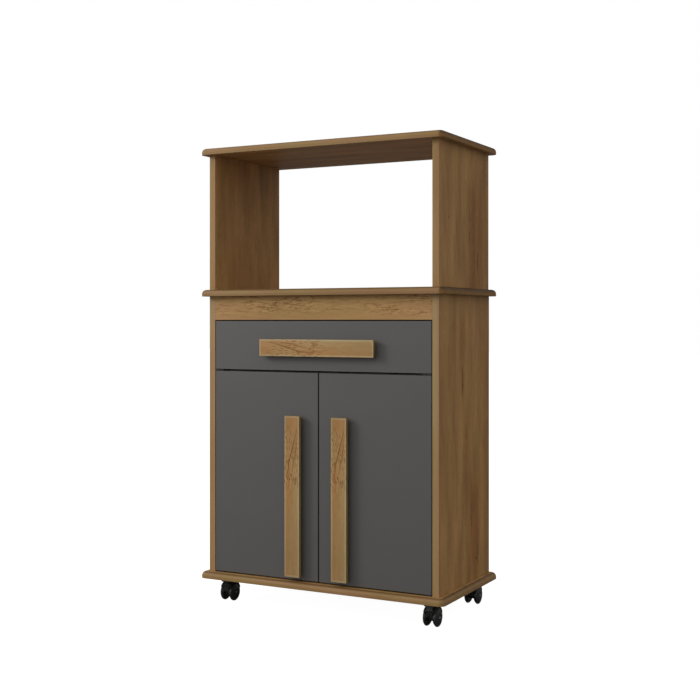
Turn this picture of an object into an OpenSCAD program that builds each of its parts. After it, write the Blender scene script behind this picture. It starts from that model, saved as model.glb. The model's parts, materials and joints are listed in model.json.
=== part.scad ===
// Kitchen storage cart: an open bay above, a drawer and a two-door cupboard below, on twin-wheel casters.
// Millimetres. The origin is on the floor under the middle of the cart, +Z is up and the front faces -Y.

/* [Case] */
// Width over the side panels
case_w = 570; // [500:1:800]
// Depth of the side panels
case_d = 282; // [272:1:450]
// Thickness of every panel and board
panel_t = 15; // [14:0.5:18]
// Height of the lower side panels
lower_h = 627; // [600:1:800]
// Height of the upper side panels
upper_h = 307; // [200:1:450]
// How far the boards stand out past the side panels
overhang = 16.5; // [8:0.5:30]
// Radius of the boards' corners in plan
corner_r = 14; // [10.5:0.5:30]
// Radius rolled along the boards' upper edge
edge_r = 10; // [3:0.5:12]
// Thickness of the back panel
back_t = 3; // [2.5:0.5:6]

/* [Front] */
// Height of the fixed rail under the middle board
rail_h = 53.5; // [45:0.5:90]
// Height of the drawer front
drawer_front_h = 109; // [105:1:140]
// Gap between the fronts and the side panels
side_gap = 2; // [1.8:0.1:4]
// Gap between the two doors
split_gap = 3; // [2:0.5:6]
// Gap between the rail and the drawer front
rail_gap = 2.5; // [1:0.5:5]
// Gap between the upper pivot plates and the drawer front
drawer_gap = 1.5; // [1:0.5:4]

/* [Handles] */
// Width of the handle strips
handle_w = 37.5; // [25:0.5:50]
// Thickness of the handle strips
handle_t = 16; // [13:0.5:25]
// Thickness of the handle strips' edges, in front of the rebate for the fingers
handle_lip_t = 9; // [7:0.5:12]
// Width of the rebate for the fingers behind the handle strips' edges
finger_w = 9; // [6:0.5:9.5]
// Radius along the handle strips' edges
handle_edge_r = 0.8; // [0.4:0.1:3]
// Length of the drawer handle
drawer_handle_l = 283; // [160:1:400]
// How far the drawer handle sits below the middle of the drawer front
drawer_handle_drop = 4.5; // [0:0.5:15]
// Length of the door handles
door_handle_l = 352; // [200:1:400]
// Height of the door handles above the doors' lower edges
door_handle_lift = 8; // [0:0.5:40]
// Distance of the door handles' centre lines from the middle of the cart
door_handle_x = 58; // [45:0.5:120]
// Distance of the handle screws from the ends of the handles
handle_screw_in = 45; // [15:1:70]

/* [Drawer] */
// Gap between the drawer box and the back panel
box_rear_gap = 17; // [13:1:30]
// Height of the drawer box
box_h = 80; // [60:1:84]
// Thickness of the drawer box boards
box_t = 12; // [11.5:0.5:16]
// Height of the drawer box above the front's lower edge
box_lift = 10; // [9:0.5:14]
// Thickness of the drawer bottom
bottom_t = 3; // [2.5:0.5:4]
// Depth of the groove that holds the drawer bottom
groove_d = 5; // [3:0.5:7]
// Height of the groove above the box's lower edge
groove_lift = 8; // [5:0.5:14]
// How much of the drawer box stays in the case when the drawer is pulled out
box_stay = 60; // [50:1:120]
// Distance of the box's dowels and screws from its upper edge and from the drawer bottom
box_joint_in = 14; // [10:1:18]
// Distance of the outer screws in the drawer bottom from the box's sides
bottom_screw_in = 80; // [40:1:120]

/* [Runners] */
// Width between the drawer box and the side panel
runner_gap = 12.5; // [12.5:0.1:14]
// Thickness of the runners' sheet steel
steel_t = 1.2; // [1:0.1:1.4]
// Radius of the runner rollers
roller_r = 6.25; // [5:0.05:6.5]
// Width of the runner rollers
roller_w = 6.5; // [4:0.1:6.8]
// Radius of the rollers' axles
roller_axle_r = 2; // [1.5:0.1:2.5]
// Height of the rollers' axles above the drawer box's lower edge
roller_rise = 5; // [5:0.1:6]
// Width of the flange that rides on the front roller
flange_w = 8; // [5:0.1:8.2]
// Gap between the drawer front and the runners
runner_setback = 2; // [1:0.5:6]
// Distance of the rollers from the runners' ends
roller_in = 4; // [2:0.5:8]
// Gap between the case's channel and the drawer's runner
channel_play = 1.5; // [1:0.1:3]
// Width of the ledge under the drawer box
ledge_w = 10; // [6:0.5:11]
// Distance of the runner screws from the runners' ends
runner_screw_in = 30; // [26:1:50]

/* [Door pivots] */
// Distance of the pivot axis from the door's outer edge
axis_in = 6; // [6:0.5:12]
// Distance of the pivot axis behind the door's front face
axis_back = 4.5; // [4.5:0.1:4.8]
// Radius of the pivot pins
pin_r = 2; // [1.5:0.1:2.5]
// Radius of the leaf's eye and of the pin's shoulder
eye_r = 3.5; // [3.2:0.1:4]
// Thickness of the pivot plates on the case
plate_t = 1.5; // [1:0.1:2]
// Height of the pin's shoulder between plate and leaf
shoulder_h = 1.5; // [1:0.1:2.5]
// Width of the pivot plates
plate_w = 22; // [18:1:30]
// Length of the pivot plates
plate_l = 50; // [46:1:60]
// Distance of the pivot plates from the side panel and from the front of the case
plate_inset = 1; // [0.5:0.1:2]
// Distance of the rear plate screw from the plate's rear end
plate_screw_in = 10; // [6:0.5:12]
// Distance between the two screws of a pivot plate
plate_screw_pitch = 16; // [12:0.5:17]
// Thickness of the leaves let into the doors' edges
leaf_t = 2.5; // [2:0.1:4]
// Width of the leaves
leaf_w = 10; // [8:0.5:12]
// Length of the leaves beyond the pivot axis
leaf_l = 42; // [38:1:80]
// Distance of a leaf's outer screw from its end
leaf_screw_in = 9; // [6:0.5:12]
// Distance between the two screws of a leaf
leaf_screw_pitch = 19; // [12:0.5:20]

/* [Cupboard inside] */
// Depth of the rail between drawer and doors
divider_d = 60; // [56:1:100]
// How far that rail stands back from the doors
divider_setback = 3; // [2.5:0.5:6]
// Height of the inner shelf above the base board
shelf_rise = 215; // [120:1:320]
// How far the inner shelf stands back from the doors
shelf_setback = 20; // [10:1:60]
// Play between the inner shelf and the case
shelf_play = 1; // [0.5:0.1:2]
// Radius of the shelf pins
shelf_pin_r = 2.5; // [2:0.1:4]
// Length of the shelf pins
shelf_pin_l = 18; // [14:1:22]
// How deep the shelf pins sit in the side panels
shelf_pin_sink = 8; // [5:0.5:10]
// Distance of the shelf pins from the shelf's front and rear edges
shelf_pin_in = 40; // [20:1:80]
// Width of the magnetic catch
catch_w = 44; // [36:1:60]
// Height of the magnetic catch
catch_h = 12; // [12:0.5:16]
// Depth of the magnetic catch
catch_d = 16; // [14:0.5:22]
// Width of the catch's screw ears
ear_w = 9; // [8:0.5:14]
// Thickness of the catch's screw ears
ear_t = 3; // [2:0.1:5]
// Thickness of the strike plates on the doors
strike_t = 1; // [0.8:0.1:1.5]
// Width of the strike plates
strike_w = 14; // [12:0.5:16]
// Distance of the strike plates from the doors' inner edges
strike_in = 5; // [2:0.5:5]

/* [Casters] */
// Height of the casters from the floor to the base board
caster_h = 56; // [54:0.5:62]
// Radius of the wheels
wheel_r = 20; // [18:0.5:20.5]
// Thickness of a wheel from its inner to its outer face
wheel_t = 10; // [8:0.5:12]
// Half thickness of a wheel's rolled rim
rim_r = 3; // [2:0.1:3.4]
// Distance of the rim's middle from the wheel's inner face
rim_mid = 4.5; // [3.5:0.1:5]
// Width of the recessed ring round the axle in the wheel's outer face
hub_ring = 2.5; // [1.5:0.1:4]
// Depth of that recess
hub_recess = 1.5; // [0.8:0.1:3]
// How far the wheels trail behind the swivel axis
trail = 11.5; // [9:0.5:14]
// Thickness of the hood's web between the wheels
web_t = 14; // [8:0.1:16]
// Width of the hood over the wheels
hood_w = 26; // [22:0.5:34]
// Wall of the hood over the wheels
hood_wall = 2.2; // [1.5:0.1:2.5]
// Gap between the wheels and the hood
hood_play = 1.5; // [1:0.1:2]
// Angle above the axle at which the hood's shell starts at the front
shell_front_a = 34; // [10:1:50]
// Angle above the axle at which the hood's shell ends at the rear
shell_rear_a = 17; // [5:1:50]
// Height of the skirt's lower edge above the floor
skirt_z = 22.5; // [15:0.5:25]
// Distance of the skirt's front face from the wheel axle
skirt_front = 17.5; // [14:0.5:20]
// Radius of the wheel axle
axle_r = 3; // [2:0.1:3.5]
// Radius of the web's boss round the axle
boss_r = 9; // [6:0.5:12]
// Side of the square mounting plate
mount_w = 40; // [36:1:46]
// Thickness of the mounting plate
mount_t = 2; // [1.5:0.1:2.5]
// Radius of the mounting plate's corners
mount_corner_r = 4; // [1:0.5:6]
// Distance between the mounting plate's screws
mount_screw_pitch = 28; // [26:0.5:32]
// Distance of the swivel axis from the base board's side edge
caster_in_x = 47.5; // [40:0.5:80]
// Distance of the swivel axis from the base board's front and rear edges
caster_in_y = 43; // [40:0.5:70]

/* [Fasteners] */
// Radius of the wooden dowels
dowel_r = 4; // [3:0.5:4]
// Length of the wooden dowels
dowel_l = 30; // [25:1:35]
// How deep a dowel sits in the face of a board
dowel_sink = 10; // [6:0.5:11]
// Distance of the lower dowels from the side panels' edges
dowel_in = 28; // [22:1:34]
// Distance of the lower cam bolts and base screws from the side panels' edges
bolt_in = 62; // [56:1:90]
// How much further in the upper side panels' joints lie
stagger = 14; // [12:0.5:16]
// Distance of the rail's dowels from its upper and lower edges
rail_dowel_in = 13; // [8:0.5:16]
// Distance of the divider rail's dowels from its front and rear edges
divider_dowel_in = 14; // [10:0.5:18]
// Radius of the cam locks
cam_r = 7.5; // [6:0.5:8]
// Depth of the cam locks
cam_d = 12.5; // [11:0.5:13]
// Distance of the cam locks from the panels' ends
cam_rise = 24; // [20:1:34]
// Width of the cross slot in the cam locks
cam_slot_w = 1.4; // [1:0.1:2]
// Depth of that slot
cam_slot_d = 1; // [0.5:0.1:2]
// How far the cam covers in the bay reach past the cam locks
cover_lip = 1.5; // [0.5:0.1:3]
// Thickness of the cam covers
cover_t = 0.4; // [0.3:0.1:0.8]
// Length of the base screws
base_screw_l = 50; // [35:1:70]
// Radius of the base screws
base_screw_r = 2.5; // [2:0.1:3]
// Length of the small wood screws
screw_l = 12; // [9:0.5:12]
// Radius of the wood screws
screw_r = 1.6; // [1.2:0.1:1.8]
// Length of the handle screws
handle_screw_l = 25; // [20:1:26]
// Length of the screws through the drawer sides into the drawer back
box_screw_l = 30; // [25:1:40]
// Radius of the back panel's nails
nail_r = 0.8; // [0.6:0.1:1.2]
// Length of the back panel's nails
nail_l = 20; // [12:1:30]
// Distance of the end nails from the lower side panels' ends
nail_in = 35; // [20:1:80]

/* [Hidden] */
$fn = 48;
WHEEL_FN = 72;
DOME_FN = 160;
CORNERS = ["front_left", "front_right", "rear_left", "rear_right"];
CASTER_PIECES = ["hood", "axle", "wheel_left", "wheel_right"];
SIDES = ["left", "right"];
DOOR_PIECES = ["door", "door_handle", "pivot_leaves", "door_screws", "catch_strike"];

OAK = [0.59, 0.45, 0.28];
GRAPHITE = [0.33, 0.32, 0.31];
MELAMINE = [0.88, 0.87, 0.84];
HARDBOARD = [0.47, 0.34, 0.22];
BEECH = [0.80, 0.66, 0.46];
STEEL = [0.70, 0.71, 0.73];
BLACK = [0.09, 0.09, 0.09];
DARK_STEEL = [0.16, 0.16, 0.17];
PLASTIC = [0.86, 0.86, 0.84];

// Clearances
running_fit = 0.05;
face_gap = 0.3;
slack = 0.5;
cut = 1;

// Heights of the boards
base_z = caster_h;
base_top = base_z + panel_t;
mid_z = base_top + lower_h;
mid_top = mid_z + panel_t;
top_z = mid_top + upper_h;

// Plan of the case
inner_w = case_w - 2 * panel_t;
front_y = -case_d / 2;
rear_y = case_d / 2;
board_w = case_w + 2 * overhang;
board_d = case_d + 2 * overhang;
side_mid_x = (case_w - panel_t) / 2;

// Fronts
fronts_back_y = front_y + panel_t;
fronts_w = inner_w - 2 * side_gap;
door_w = (fronts_w - split_gap) / 2;
door_z = base_top + plate_t + shoulder_h;
drawer_top = mid_z - rail_h - rail_gap;
drawer_z = drawer_top - drawer_front_h;
door_top = drawer_z - drawer_gap - plate_t - shoulder_h;
door_h = door_top - door_z;
drawer_handle_z = drawer_z + drawer_front_h / 2 - drawer_handle_drop;
door_handle_z = door_z + door_handle_lift;

// Rail between drawer and doors, and the inner shelf
divider_z = door_top + shoulder_h - panel_t;
divider_y = fronts_back_y + divider_setback;
shelf_z = base_top + shelf_rise;
shelf_y = fronts_back_y + shelf_setback;
shelf_d = rear_y - shelf_play - shelf_y;

// Drawer box and runners
box_w = inner_w - 2 * runner_gap;
box_l = rear_y - box_rear_gap - fronts_back_y;
box_z = drawer_z + box_lift;
box_rear_y = fronts_back_y + box_l;
inside_z = box_z + groove_lift + bottom_t;
travel = box_l - box_stay;
roller_z = box_z + roller_rise;
roller_side = 1.2;
axle_head_h = 0.8;
axle_head_lip = 1;
runner_y = fronts_back_y + runner_setback;
runner_l = box_rear_y - runner_y;
front_roller_y = runner_y + roller_r + roller_in;
rear_roller_y = box_rear_y - roller_r - roller_in;
track_z = roller_z - roller_r - face_gap;
flange_z = roller_z + roller_r + face_gap;
channel_top = flange_z + steel_t + slack;
channel_w = runner_gap - steel_t - channel_play;
runner_screw_ys = [runner_y + runner_screw_in, runner_y + runner_l / 2, box_rear_y - runner_screw_in];

// Pivot axis of the left door
axis_x = -inner_w / 2 + side_gap + axis_in;
axis_y = front_y + axis_back;
plate_x = -inner_w / 2 + plate_inset;
plate_y = front_y + plate_inset;
plate_screw_y = plate_y + plate_l - plate_screw_in;
leaf_mid_y = front_y + panel_t / 2;
leaf_screw_x = axis_x + leaf_l - leaf_screw_in;

// Magnetic catch and its strikes
catch_y = fronts_back_y + strike_t + face_gap;
catch_z = divider_z - catch_h;
strike_x = -split_gap / 2 - strike_in - strike_w;

// Casters
caster_x = board_w / 2 - caster_in_x;
caster_y = board_d / 2 - caster_in_y;
CASTER_PLACES = [[-caster_x, -caster_y], [caster_x, -caster_y], [-caster_x, caster_y], [caster_x, caster_y]];
race_r = 14;
race_h = 4;
hood_r = wheel_r + hood_play + hood_wall;
turntable_h = 3.7;
turntable_z = base_z - mount_t - race_h - face_gap - turntable_h;
kingpin_r = 4;
kingpin_head_r = 6.7;
kingpin_head_h = 0.9;
wheel_in = web_t / 2 + slack;
axle_half = wheel_in + wheel_t - slack;

// Fasteners
screw_head_r = 3.2;
base_screw_head_r = 5;
bolt_thread_r = 2.5;
bolt_shank_r = 3;
bolt_head_r = 3.5;
bolt_head_h = 2.5;
nail_head_r = 2.2;
nail_head_h = 0.8;
NAILS_PER_SIDE = 6;
nail_step = (lower_h - 2 * nail_in) / (NAILS_PER_SIDE - 1);

// Directions of a screw that is drawn pointing down
DOWN = [0, 0, 0];
UP = [180, 0, 0];
TO_FRONT = [-90, 0, 0];
TO_LEFT = [0, 90, 0];
TO_RIGHT = [0, -90, 0];

// Shared shapes

// A rectangle with its corners rounded, centred on the origin
module eased_rectangle(w, h, r) {
    square([w - 2 * r, h], center = true);
    square([w, h - 2 * r], center = true);
    for (x = [-1, 1], y = [-1, 1]) {
        translate([x * (w / 2 - r), y * (h / 2 - r)]) circle(r);
    }
}

// A countersunk screw, head at the origin and pointing down. A bore is the same shape without the slots
module screw(l, r, head_r, bore = false) {
    head_h = head_r - r;
    slot_w = head_r / 4;
    slot_l = head_r * 1.2;
    difference() {
        union() {
            translate([0, 0, -l]) cylinder(h = l - head_h, r = r);
            translate([0, 0, -head_h]) cylinder(h = head_h, r1 = r, r2 = head_r);
        }
        if (!bore) {
            for (turn = [0, 90]) {
                rotate(turn) {
                    translate([-slot_l / 2, -slot_w / 2, -head_h / 2]) cube([slot_l, slot_w, head_h]);
                }
            }
        }
    }
}

module screws_at(places, direction, l, r, head_r, bore = false) {
    for (place = places) {
        translate(place) rotate(direction) screw(l, r, head_r, bore);
    }
}

// A pin along X from x0 to x1
module cross_pin(x0, x1, r) {
    translate([x0, 0, 0]) rotate([0, 90, 0]) cylinder(h = x1 - x0, r = r);
}

// The boards' section: the upper edge is rolled, the lower one is crisp
module board_edge_section() {
    square([corner_r - edge_r, panel_t]);
    square([corner_r, panel_t - edge_r]);
    translate([corner_r - edge_r, panel_t - edge_r]) {
        intersection() {
            circle(edge_r);
            square(edge_r);
        }
    }
}

module moulded_board(z) {
    flat_w = board_w / 2 - corner_r;
    flat_d = board_d / 2 - corner_r;
    translate([0, 0, z]) {
        translate([-flat_w, -flat_d, 0]) cube([2 * flat_w, 2 * flat_d, panel_t]);
        for (quarter = [0:3]) {
            along = quarter % 2 == 0 ? flat_d : flat_w;
            out = quarter % 2 == 0 ? flat_w : flat_d;
            rotate(90 * quarter) {
                translate([out, 0, 0]) rotate([90, 0, 0]) {
                    linear_extrude(2 * along, center = true) board_edge_section();
                }
                translate([out, along, 0]) rotate_extrude(angle = 90) board_edge_section();
            }
        }
    }
}

// Fasteners of the case

module upright_dowels() {
    lower_y = case_d / 2 - dowel_in;
    upper_y = lower_y - stagger;
    ends = [[base_top - dowel_sink, lower_y], [mid_z + dowel_sink - dowel_l, lower_y],
            [mid_top - dowel_sink, upper_y], [top_z + dowel_sink - dowel_l, upper_y]];
    for (side = [-1, 1], row = [-1, 1], end = ends) {
        translate([side * side_mid_x, row * end[1], end[0]]) cylinder(h = dowel_l, r = dowel_r);
    }
}

module rail_dowels() {
    x0 = inner_w / 2 + dowel_sink - dowel_l;
    rail_mid_z = mid_z - rail_h / 2;
    divider_mid_y = divider_y + divider_d / 2;
    rail_step = rail_h / 2 - rail_dowel_in;
    divider_step = divider_d / 2 - divider_dowel_in;
    places = [for (row = [-1, 1]) [fronts_back_y - panel_t / 2, rail_mid_z + row * rail_step],
              for (row = [-1, 1]) [divider_mid_y + row * divider_step, divider_z + panel_t / 2]];
    for (side = [0, 1], place = places) {
        mirror([side, 0, 0]) translate([0, place[0], place[1]]) cross_pin(x0, x0 + dowel_l, dowel_r);
    }
}

module dowel_solids() {
    upright_dowels();
    rail_dowels();
}

// Every cam joint: its height at the panel's end, its direction from the board, and its distance in
function bay_cam_joints() = [[mid_top, 1, bolt_in + stagger], [top_z, -1, bolt_in + stagger]];
function cam_joints() = concat([[mid_z, -1, bolt_in]], bay_cam_joints());

module at_cam_joints(joints = cam_joints()) {
    for (side = [0, 1], row = [-1, 1], joint = joints) {
        mirror([side, 0, 0]) translate([-side_mid_x, row * (case_d / 2 - joint[2]), joint[0]]) {
            mirror([0, 0, joint[1] < 0 ? 1 : 0]) children();
        }
    }
}

// One cam bolt: the thread sits in the board below, the head in the cam above
module cam_bolt() {
    translate([0, 0, -dowel_sink]) cylinder(h = dowel_sink, r = bolt_thread_r);
    cylinder(h = cam_rise, r = bolt_shank_r);
    translate([0, 0, cam_rise - bolt_head_h / 2]) cylinder(h = bolt_head_h, r = bolt_head_r);
}

module cam_disc() {
    translate([panel_t / 2, 0, cam_rise]) cross_pin(-cam_d, 0, cam_r);
}

module cam_lock() {
    jaw = bolt_head_r + slack;
    slot_x = panel_t / 2 - cam_slot_d;
    difference() {
        cam_disc();
        translate([-jaw, -jaw, cam_rise - cam_r]) cube([2 * jaw, 2 * jaw, cam_r + jaw]);
        for (turn = [0, 90]) {
            translate([slot_x, 0, cam_rise]) rotate([turn, 0, 0]) {
                translate([0, -cam_slot_w / 2, -cam_r / 2]) cube([cam_slot_d + cut, cam_slot_w, cam_r]);
            }
        }
    }
}

// Everything the cam joints take away from panels and boards
module cam_bores() {
    at_cam_joints() {
        translate([0, 0, -dowel_sink]) cylinder(h = dowel_sink, r = bolt_thread_r);
        cylinder(h = cam_rise, r = bolt_head_r + slack);
        cam_disc();
    }
}

function base_screw_places() = [for (side = [-1, 1], row = [-1, 1])
    [side * side_mid_x, row * (case_d / 2 - bolt_in), base_z]];

module base_screw_solids(bore = false) {
    screws_at(base_screw_places(), UP, base_screw_l, base_screw_r, base_screw_head_r, bore);
}

function mount_screw_places() = [for (place = CASTER_PLACES, x = [-1, 1], y = [-1, 1])
    [place[0] + x * mount_screw_pitch / 2, place[1] + y * mount_screw_pitch / 2, base_z - mount_t]];

function plate_screw_places(z) = [for (side = [-1, 1], i = [0, 1])
    [side * (plate_x + plate_w / 2), plate_screw_y - i * plate_screw_pitch, z]];

function runner_screw_places(x) = [for (y = runner_screw_ys) [x, y, roller_z]];

function catch_screw_places() = [for (side = [-1, 1])
    [side * (catch_w + ear_w) / 2, catch_y + catch_d / 2, divider_z - ear_t]];

module case_screw_solids(bore = false) {
    sets = [[mount_screw_places(), UP],
            [plate_screw_places(base_top + plate_t), DOWN],
            [plate_screw_places(divider_z + panel_t + plate_t), DOWN],
            [catch_screw_places(), UP],
            [runner_screw_places(-inner_w / 2 + steel_t), TO_LEFT],
            [runner_screw_places(inner_w / 2 - steel_t), TO_RIGHT]];
    for (set = sets) {
        screws_at(set[0], set[1], screw_l, screw_r, screw_head_r, bore);
    }
}

module at_nails() {
    for (side = [-1, 1], i = [0:NAILS_PER_SIDE - 1]) {
        translate([side * side_mid_x, rear_y + back_t, base_top + nail_in + i * nail_step]) children();
    }
}

module nail_shanks() {
    at_nails() rotate([90, 0, 0]) cylinder(h = nail_l, r = nail_r);
}

module nail_heads() {
    at_nails() rotate([-90, 0, 0]) cylinder(h = nail_head_h, r = nail_head_r);
}

// Case

module top_board() {
    color(OAK) difference() {
        moulded_board(top_z);
        upright_dowels();
        cam_bores();
    }
}

module middle_board() {
    color(OAK) difference() {
        moulded_board(mid_z);
        upright_dowels();
        cam_bores();
    }
}

module base_board() {
    color(OAK) difference() {
        moulded_board(base_z);
        upright_dowels();
        base_screw_solids(bore = true);
        case_screw_solids(bore = true);
    }
}

module side_blank(z, h) {
    translate([-case_w / 2, front_y, z]) cube([panel_t, case_d, h]);
}

module upper_side() {
    color(OAK) difference() {
        side_blank(mid_top, upper_h);
        upright_dowels();
        cam_bores();
    }
}

module shelf_pin_solids() {
    pin_z = shelf_z - shelf_pin_r;
    rows = [shelf_y + shelf_pin_in, shelf_y + shelf_d - shelf_pin_in];
    x0 = inner_w / 2 + shelf_pin_sink - shelf_pin_l;
    for (side = [0, 1], y = rows) {
        mirror([side, 0, 0]) translate([0, y, pin_z]) cross_pin(x0, x0 + shelf_pin_l, shelf_pin_r);
    }
}

module lower_side() {
    color(OAK) difference() {
        side_blank(base_top, lower_h);
        dowel_solids();
        cam_bores();
        shelf_pin_solids();
        base_screw_solids(bore = true);
        case_screw_solids(bore = true);
        nail_shanks();
    }
}

module front_rail() {
    color(OAK) difference() {
        translate([-inner_w / 2, front_y, mid_z - rail_h]) cube([inner_w, panel_t, rail_h]);
        rail_dowels();
    }
}

module divider_rail() {
    color(OAK) difference() {
        translate([-inner_w / 2, divider_y, divider_z]) cube([inner_w, divider_d, panel_t]);
        rail_dowels();
        case_screw_solids(bore = true);
    }
}

module back_panel() {
    color(HARDBOARD) difference() {
        translate([-case_w / 2, rear_y, base_top]) cube([case_w, back_t, lower_h]);
        nail_shanks();
    }
}

module inner_shelf() {
    shelf_w = inner_w - 2 * shelf_play;
    color(OAK) translate([-shelf_w / 2, shelf_y, shelf_z]) cube([shelf_w, shelf_d, panel_t]);
}

module shelf_pins() {
    color(STEEL) shelf_pin_solids();
}

module dowels() {
    color(BEECH) dowel_solids();
}

module cam_bolts() {
    color(STEEL) at_cam_joints() cam_bolt();
}

module cam_locks() {
    color(STEEL) at_cam_joints() cam_lock();
}

// Thin printed discs stuck over the cam locks that face the bay
module cam_covers() {
    color(OAK) at_cam_joints(bay_cam_joints()) {
        translate([panel_t / 2, 0, cam_rise]) cross_pin(0, cover_t, cam_r + cover_lip);
    }
}

module base_screws() {
    color(STEEL) base_screw_solids();
}

module back_nails() {
    color(STEEL) {
        nail_shanks();
        nail_heads();
    }
}

module case_screws() {
    color(STEEL) case_screw_solids();
}

// Door pivots

// The lower left pivot plate with its shouldered pin, standing on the base board
module pivot_plate(z, pin_play) {
    translate([plate_x, plate_y, z]) cube([plate_w, plate_l, plate_t]);
    translate([axis_x, axis_y, z + plate_t]) {
        cylinder(h = shoulder_h - pin_play, r = eye_r);
        cylinder(h = shoulder_h + leaf_t - face_gap, r = pin_r);
    }
}

module pivot_plates() {
    upper_z = divider_z + panel_t + plate_t;
    color(DARK_STEEL) difference() {
        for (side = [0, 1]) {
            mirror([side, 0, 0]) {
                pivot_plate(base_top, 0);
                translate([0, 0, upper_z]) mirror([0, 0, 1]) pivot_plate(0, face_gap);
            }
        }
        case_screw_solids(bore = true);
    }
}

// Outline of a leaf: an eye round the pivot axis and a tongue along the middle of the door's edge
module leaf_blank() {
    translate([axis_x, axis_y, 0]) cylinder(h = leaf_t, r = eye_r);
    translate([axis_x - eye_r, leaf_mid_y - leaf_w / 2, 0]) cube([leaf_l + eye_r, leaf_w, leaf_t]);
}

module leaf_blanks() {
    translate([0, 0, door_z]) leaf_blank();
    translate([0, 0, door_top - leaf_t]) leaf_blank();
}

// Screws that the left door carries: handle screws, leaf screws and the strike's screw
module door_screw_solids(bore = false) {
    handle_ends = [door_handle_z + handle_screw_in, door_handle_z + door_handle_l - handle_screw_in];
    handle_places = [for (z = handle_ends) [-door_handle_x, fronts_back_y, z]];
    leaf_xs = [leaf_screw_x, leaf_screw_x - leaf_screw_pitch];
    lower_places = [for (x = leaf_xs) [x, leaf_mid_y, door_z]];
    upper_places = [for (x = leaf_xs) [x, leaf_mid_y, door_top]];
    strike_place = [strike_x + strike_w / 2, fronts_back_y + strike_t, divider_z - catch_h / 2];
    screws_at(handle_places, TO_FRONT, handle_screw_l, screw_r, screw_head_r, bore);
    screws_at(lower_places, UP, screw_l, screw_r, screw_head_r, bore);
    screws_at(upper_places, DOWN, screw_l, screw_r, screw_head_r, bore);
    screws_at([strike_place], TO_FRONT, screw_l, screw_r, screw_head_r, bore);
}

// Left door, with its outer edge beside the left side panel

module door() {
    color(GRAPHITE) difference() {
        translate([-fronts_w / 2, front_y, door_z]) cube([door_w, panel_t, door_h]);
        leaf_blanks();
        door_screw_solids(bore = true);
    }
}

// Handle strip from the origin up, its back on the plane Y = 0 and rebated all round for the fingers
module handle_strip(length) {
    lip_mid_y = handle_lip_t / 2 - handle_t;
    spine_w = handle_w - 2 * finger_w;
    translate([0, lip_mid_y, 0]) {
        linear_extrude(length) eased_rectangle(handle_w, handle_lip_t, handle_edge_r);
    }
    translate([-spine_w / 2, lip_mid_y, finger_w]) cube([spine_w, -lip_mid_y, length - 2 * finger_w]);
}

module door_handle() {
    color(OAK) difference() {
        translate([-door_handle_x, front_y, door_handle_z]) handle_strip(door_handle_l);
        door_screw_solids(bore = true);
    }
}

module pivot_leaves() {
    color(DARK_STEEL) difference() {
        leaf_blanks();
        translate([axis_x, axis_y, door_z - cut]) cylinder(h = door_h + 2 * cut, r = pin_r + running_fit);
        door_screw_solids(bore = true);
    }
}

module door_screws() {
    color(STEEL) door_screw_solids();
}

module catch_strike() {
    color(STEEL) difference() {
        translate([strike_x, fronts_back_y, catch_z]) cube([strike_w, strike_t, catch_h]);
        door_screw_solids(bore = true);
    }
}

module magnetic_catch() {
    color(PLASTIC) difference() {
        union() {
            translate([-catch_w / 2, catch_y, catch_z]) cube([catch_w, catch_d, catch_h]);
            translate([-catch_w / 2 - ear_w, catch_y, divider_z - ear_t]) {
                cube([catch_w + 2 * ear_w, catch_d, ear_t]);
            }
        }
        case_screw_solids(bore = true);
    }
}

// Drawer

module drawer_dowel_solids() {
    for (side = [-1, 1], z = [inside_z + box_joint_in, box_z + box_h - box_joint_in]) {
        translate([side * (box_w - box_t) / 2, fronts_back_y - dowel_sink, z]) {
            rotate([-90, 0, 0]) cylinder(h = dowel_l, r = dowel_r);
        }
    }
}

module drawer_screw_solids(bore = false) {
    handle_ends = drawer_handle_l / 2 - handle_screw_in;
    handle_places = [for (side = [-1, 1]) [side * handle_ends, fronts_back_y, drawer_handle_z]];
    back_mid_y = box_rear_y - box_t / 2;
    back_heights = [inside_z + box_joint_in, box_z + box_h - box_joint_in];
    left_places = [for (z = back_heights) [-box_w / 2, back_mid_y, z]];
    right_places = [for (z = back_heights) [box_w / 2, back_mid_y, z]];
    bottom_step = box_w / 2 - bottom_screw_in;
    bottom_places = [for (side = [-1, 0, 1]) [side * bottom_step, back_mid_y, inside_z - bottom_t]];
    screws_at(handle_places, TO_FRONT, handle_screw_l, screw_r, screw_head_r, bore);
    screws_at(left_places, TO_RIGHT, box_screw_l, screw_r, screw_head_r, bore);
    screws_at(right_places, TO_LEFT, box_screw_l, screw_r, screw_head_r, bore);
    screws_at(bottom_places, UP, screw_l, screw_r, screw_head_r, bore);
    screws_at(runner_screw_places(-box_w / 2 - steel_t), TO_RIGHT, screw_l, screw_r, screw_head_r, bore);
    screws_at(runner_screw_places(box_w / 2 + steel_t), TO_LEFT, screw_l, screw_r, screw_head_r, bore);
}

module drawer_bottom_blank() {
    bottom_w = box_w - 2 * box_t + 2 * groove_d;
    translate([-bottom_w / 2, fronts_back_y - groove_d, inside_z - bottom_t]) {
        cube([bottom_w, box_l + groove_d, bottom_t]);
    }
}

module drawer_front() {
    color(GRAPHITE) difference() {
        translate([-fronts_w / 2, front_y, drawer_z]) cube([fronts_w, panel_t, drawer_front_h]);
        drawer_dowel_solids();
        drawer_bottom_blank();
        drawer_screw_solids(bore = true);
    }
}

module drawer_handle() {
    color(OAK) difference() {
        translate([-drawer_handle_l / 2, front_y, drawer_handle_z]) {
            rotate([0, 90, 0]) handle_strip(drawer_handle_l);
        }
        drawer_screw_solids(bore = true);
    }
}

module drawer_side() {
    color(MELAMINE) difference() {
        translate([-box_w / 2, fronts_back_y, box_z]) cube([box_t, box_l, box_h]);
        drawer_dowel_solids();
        drawer_bottom_blank();
        drawer_screw_solids(bore = true);
    }
}

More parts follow.
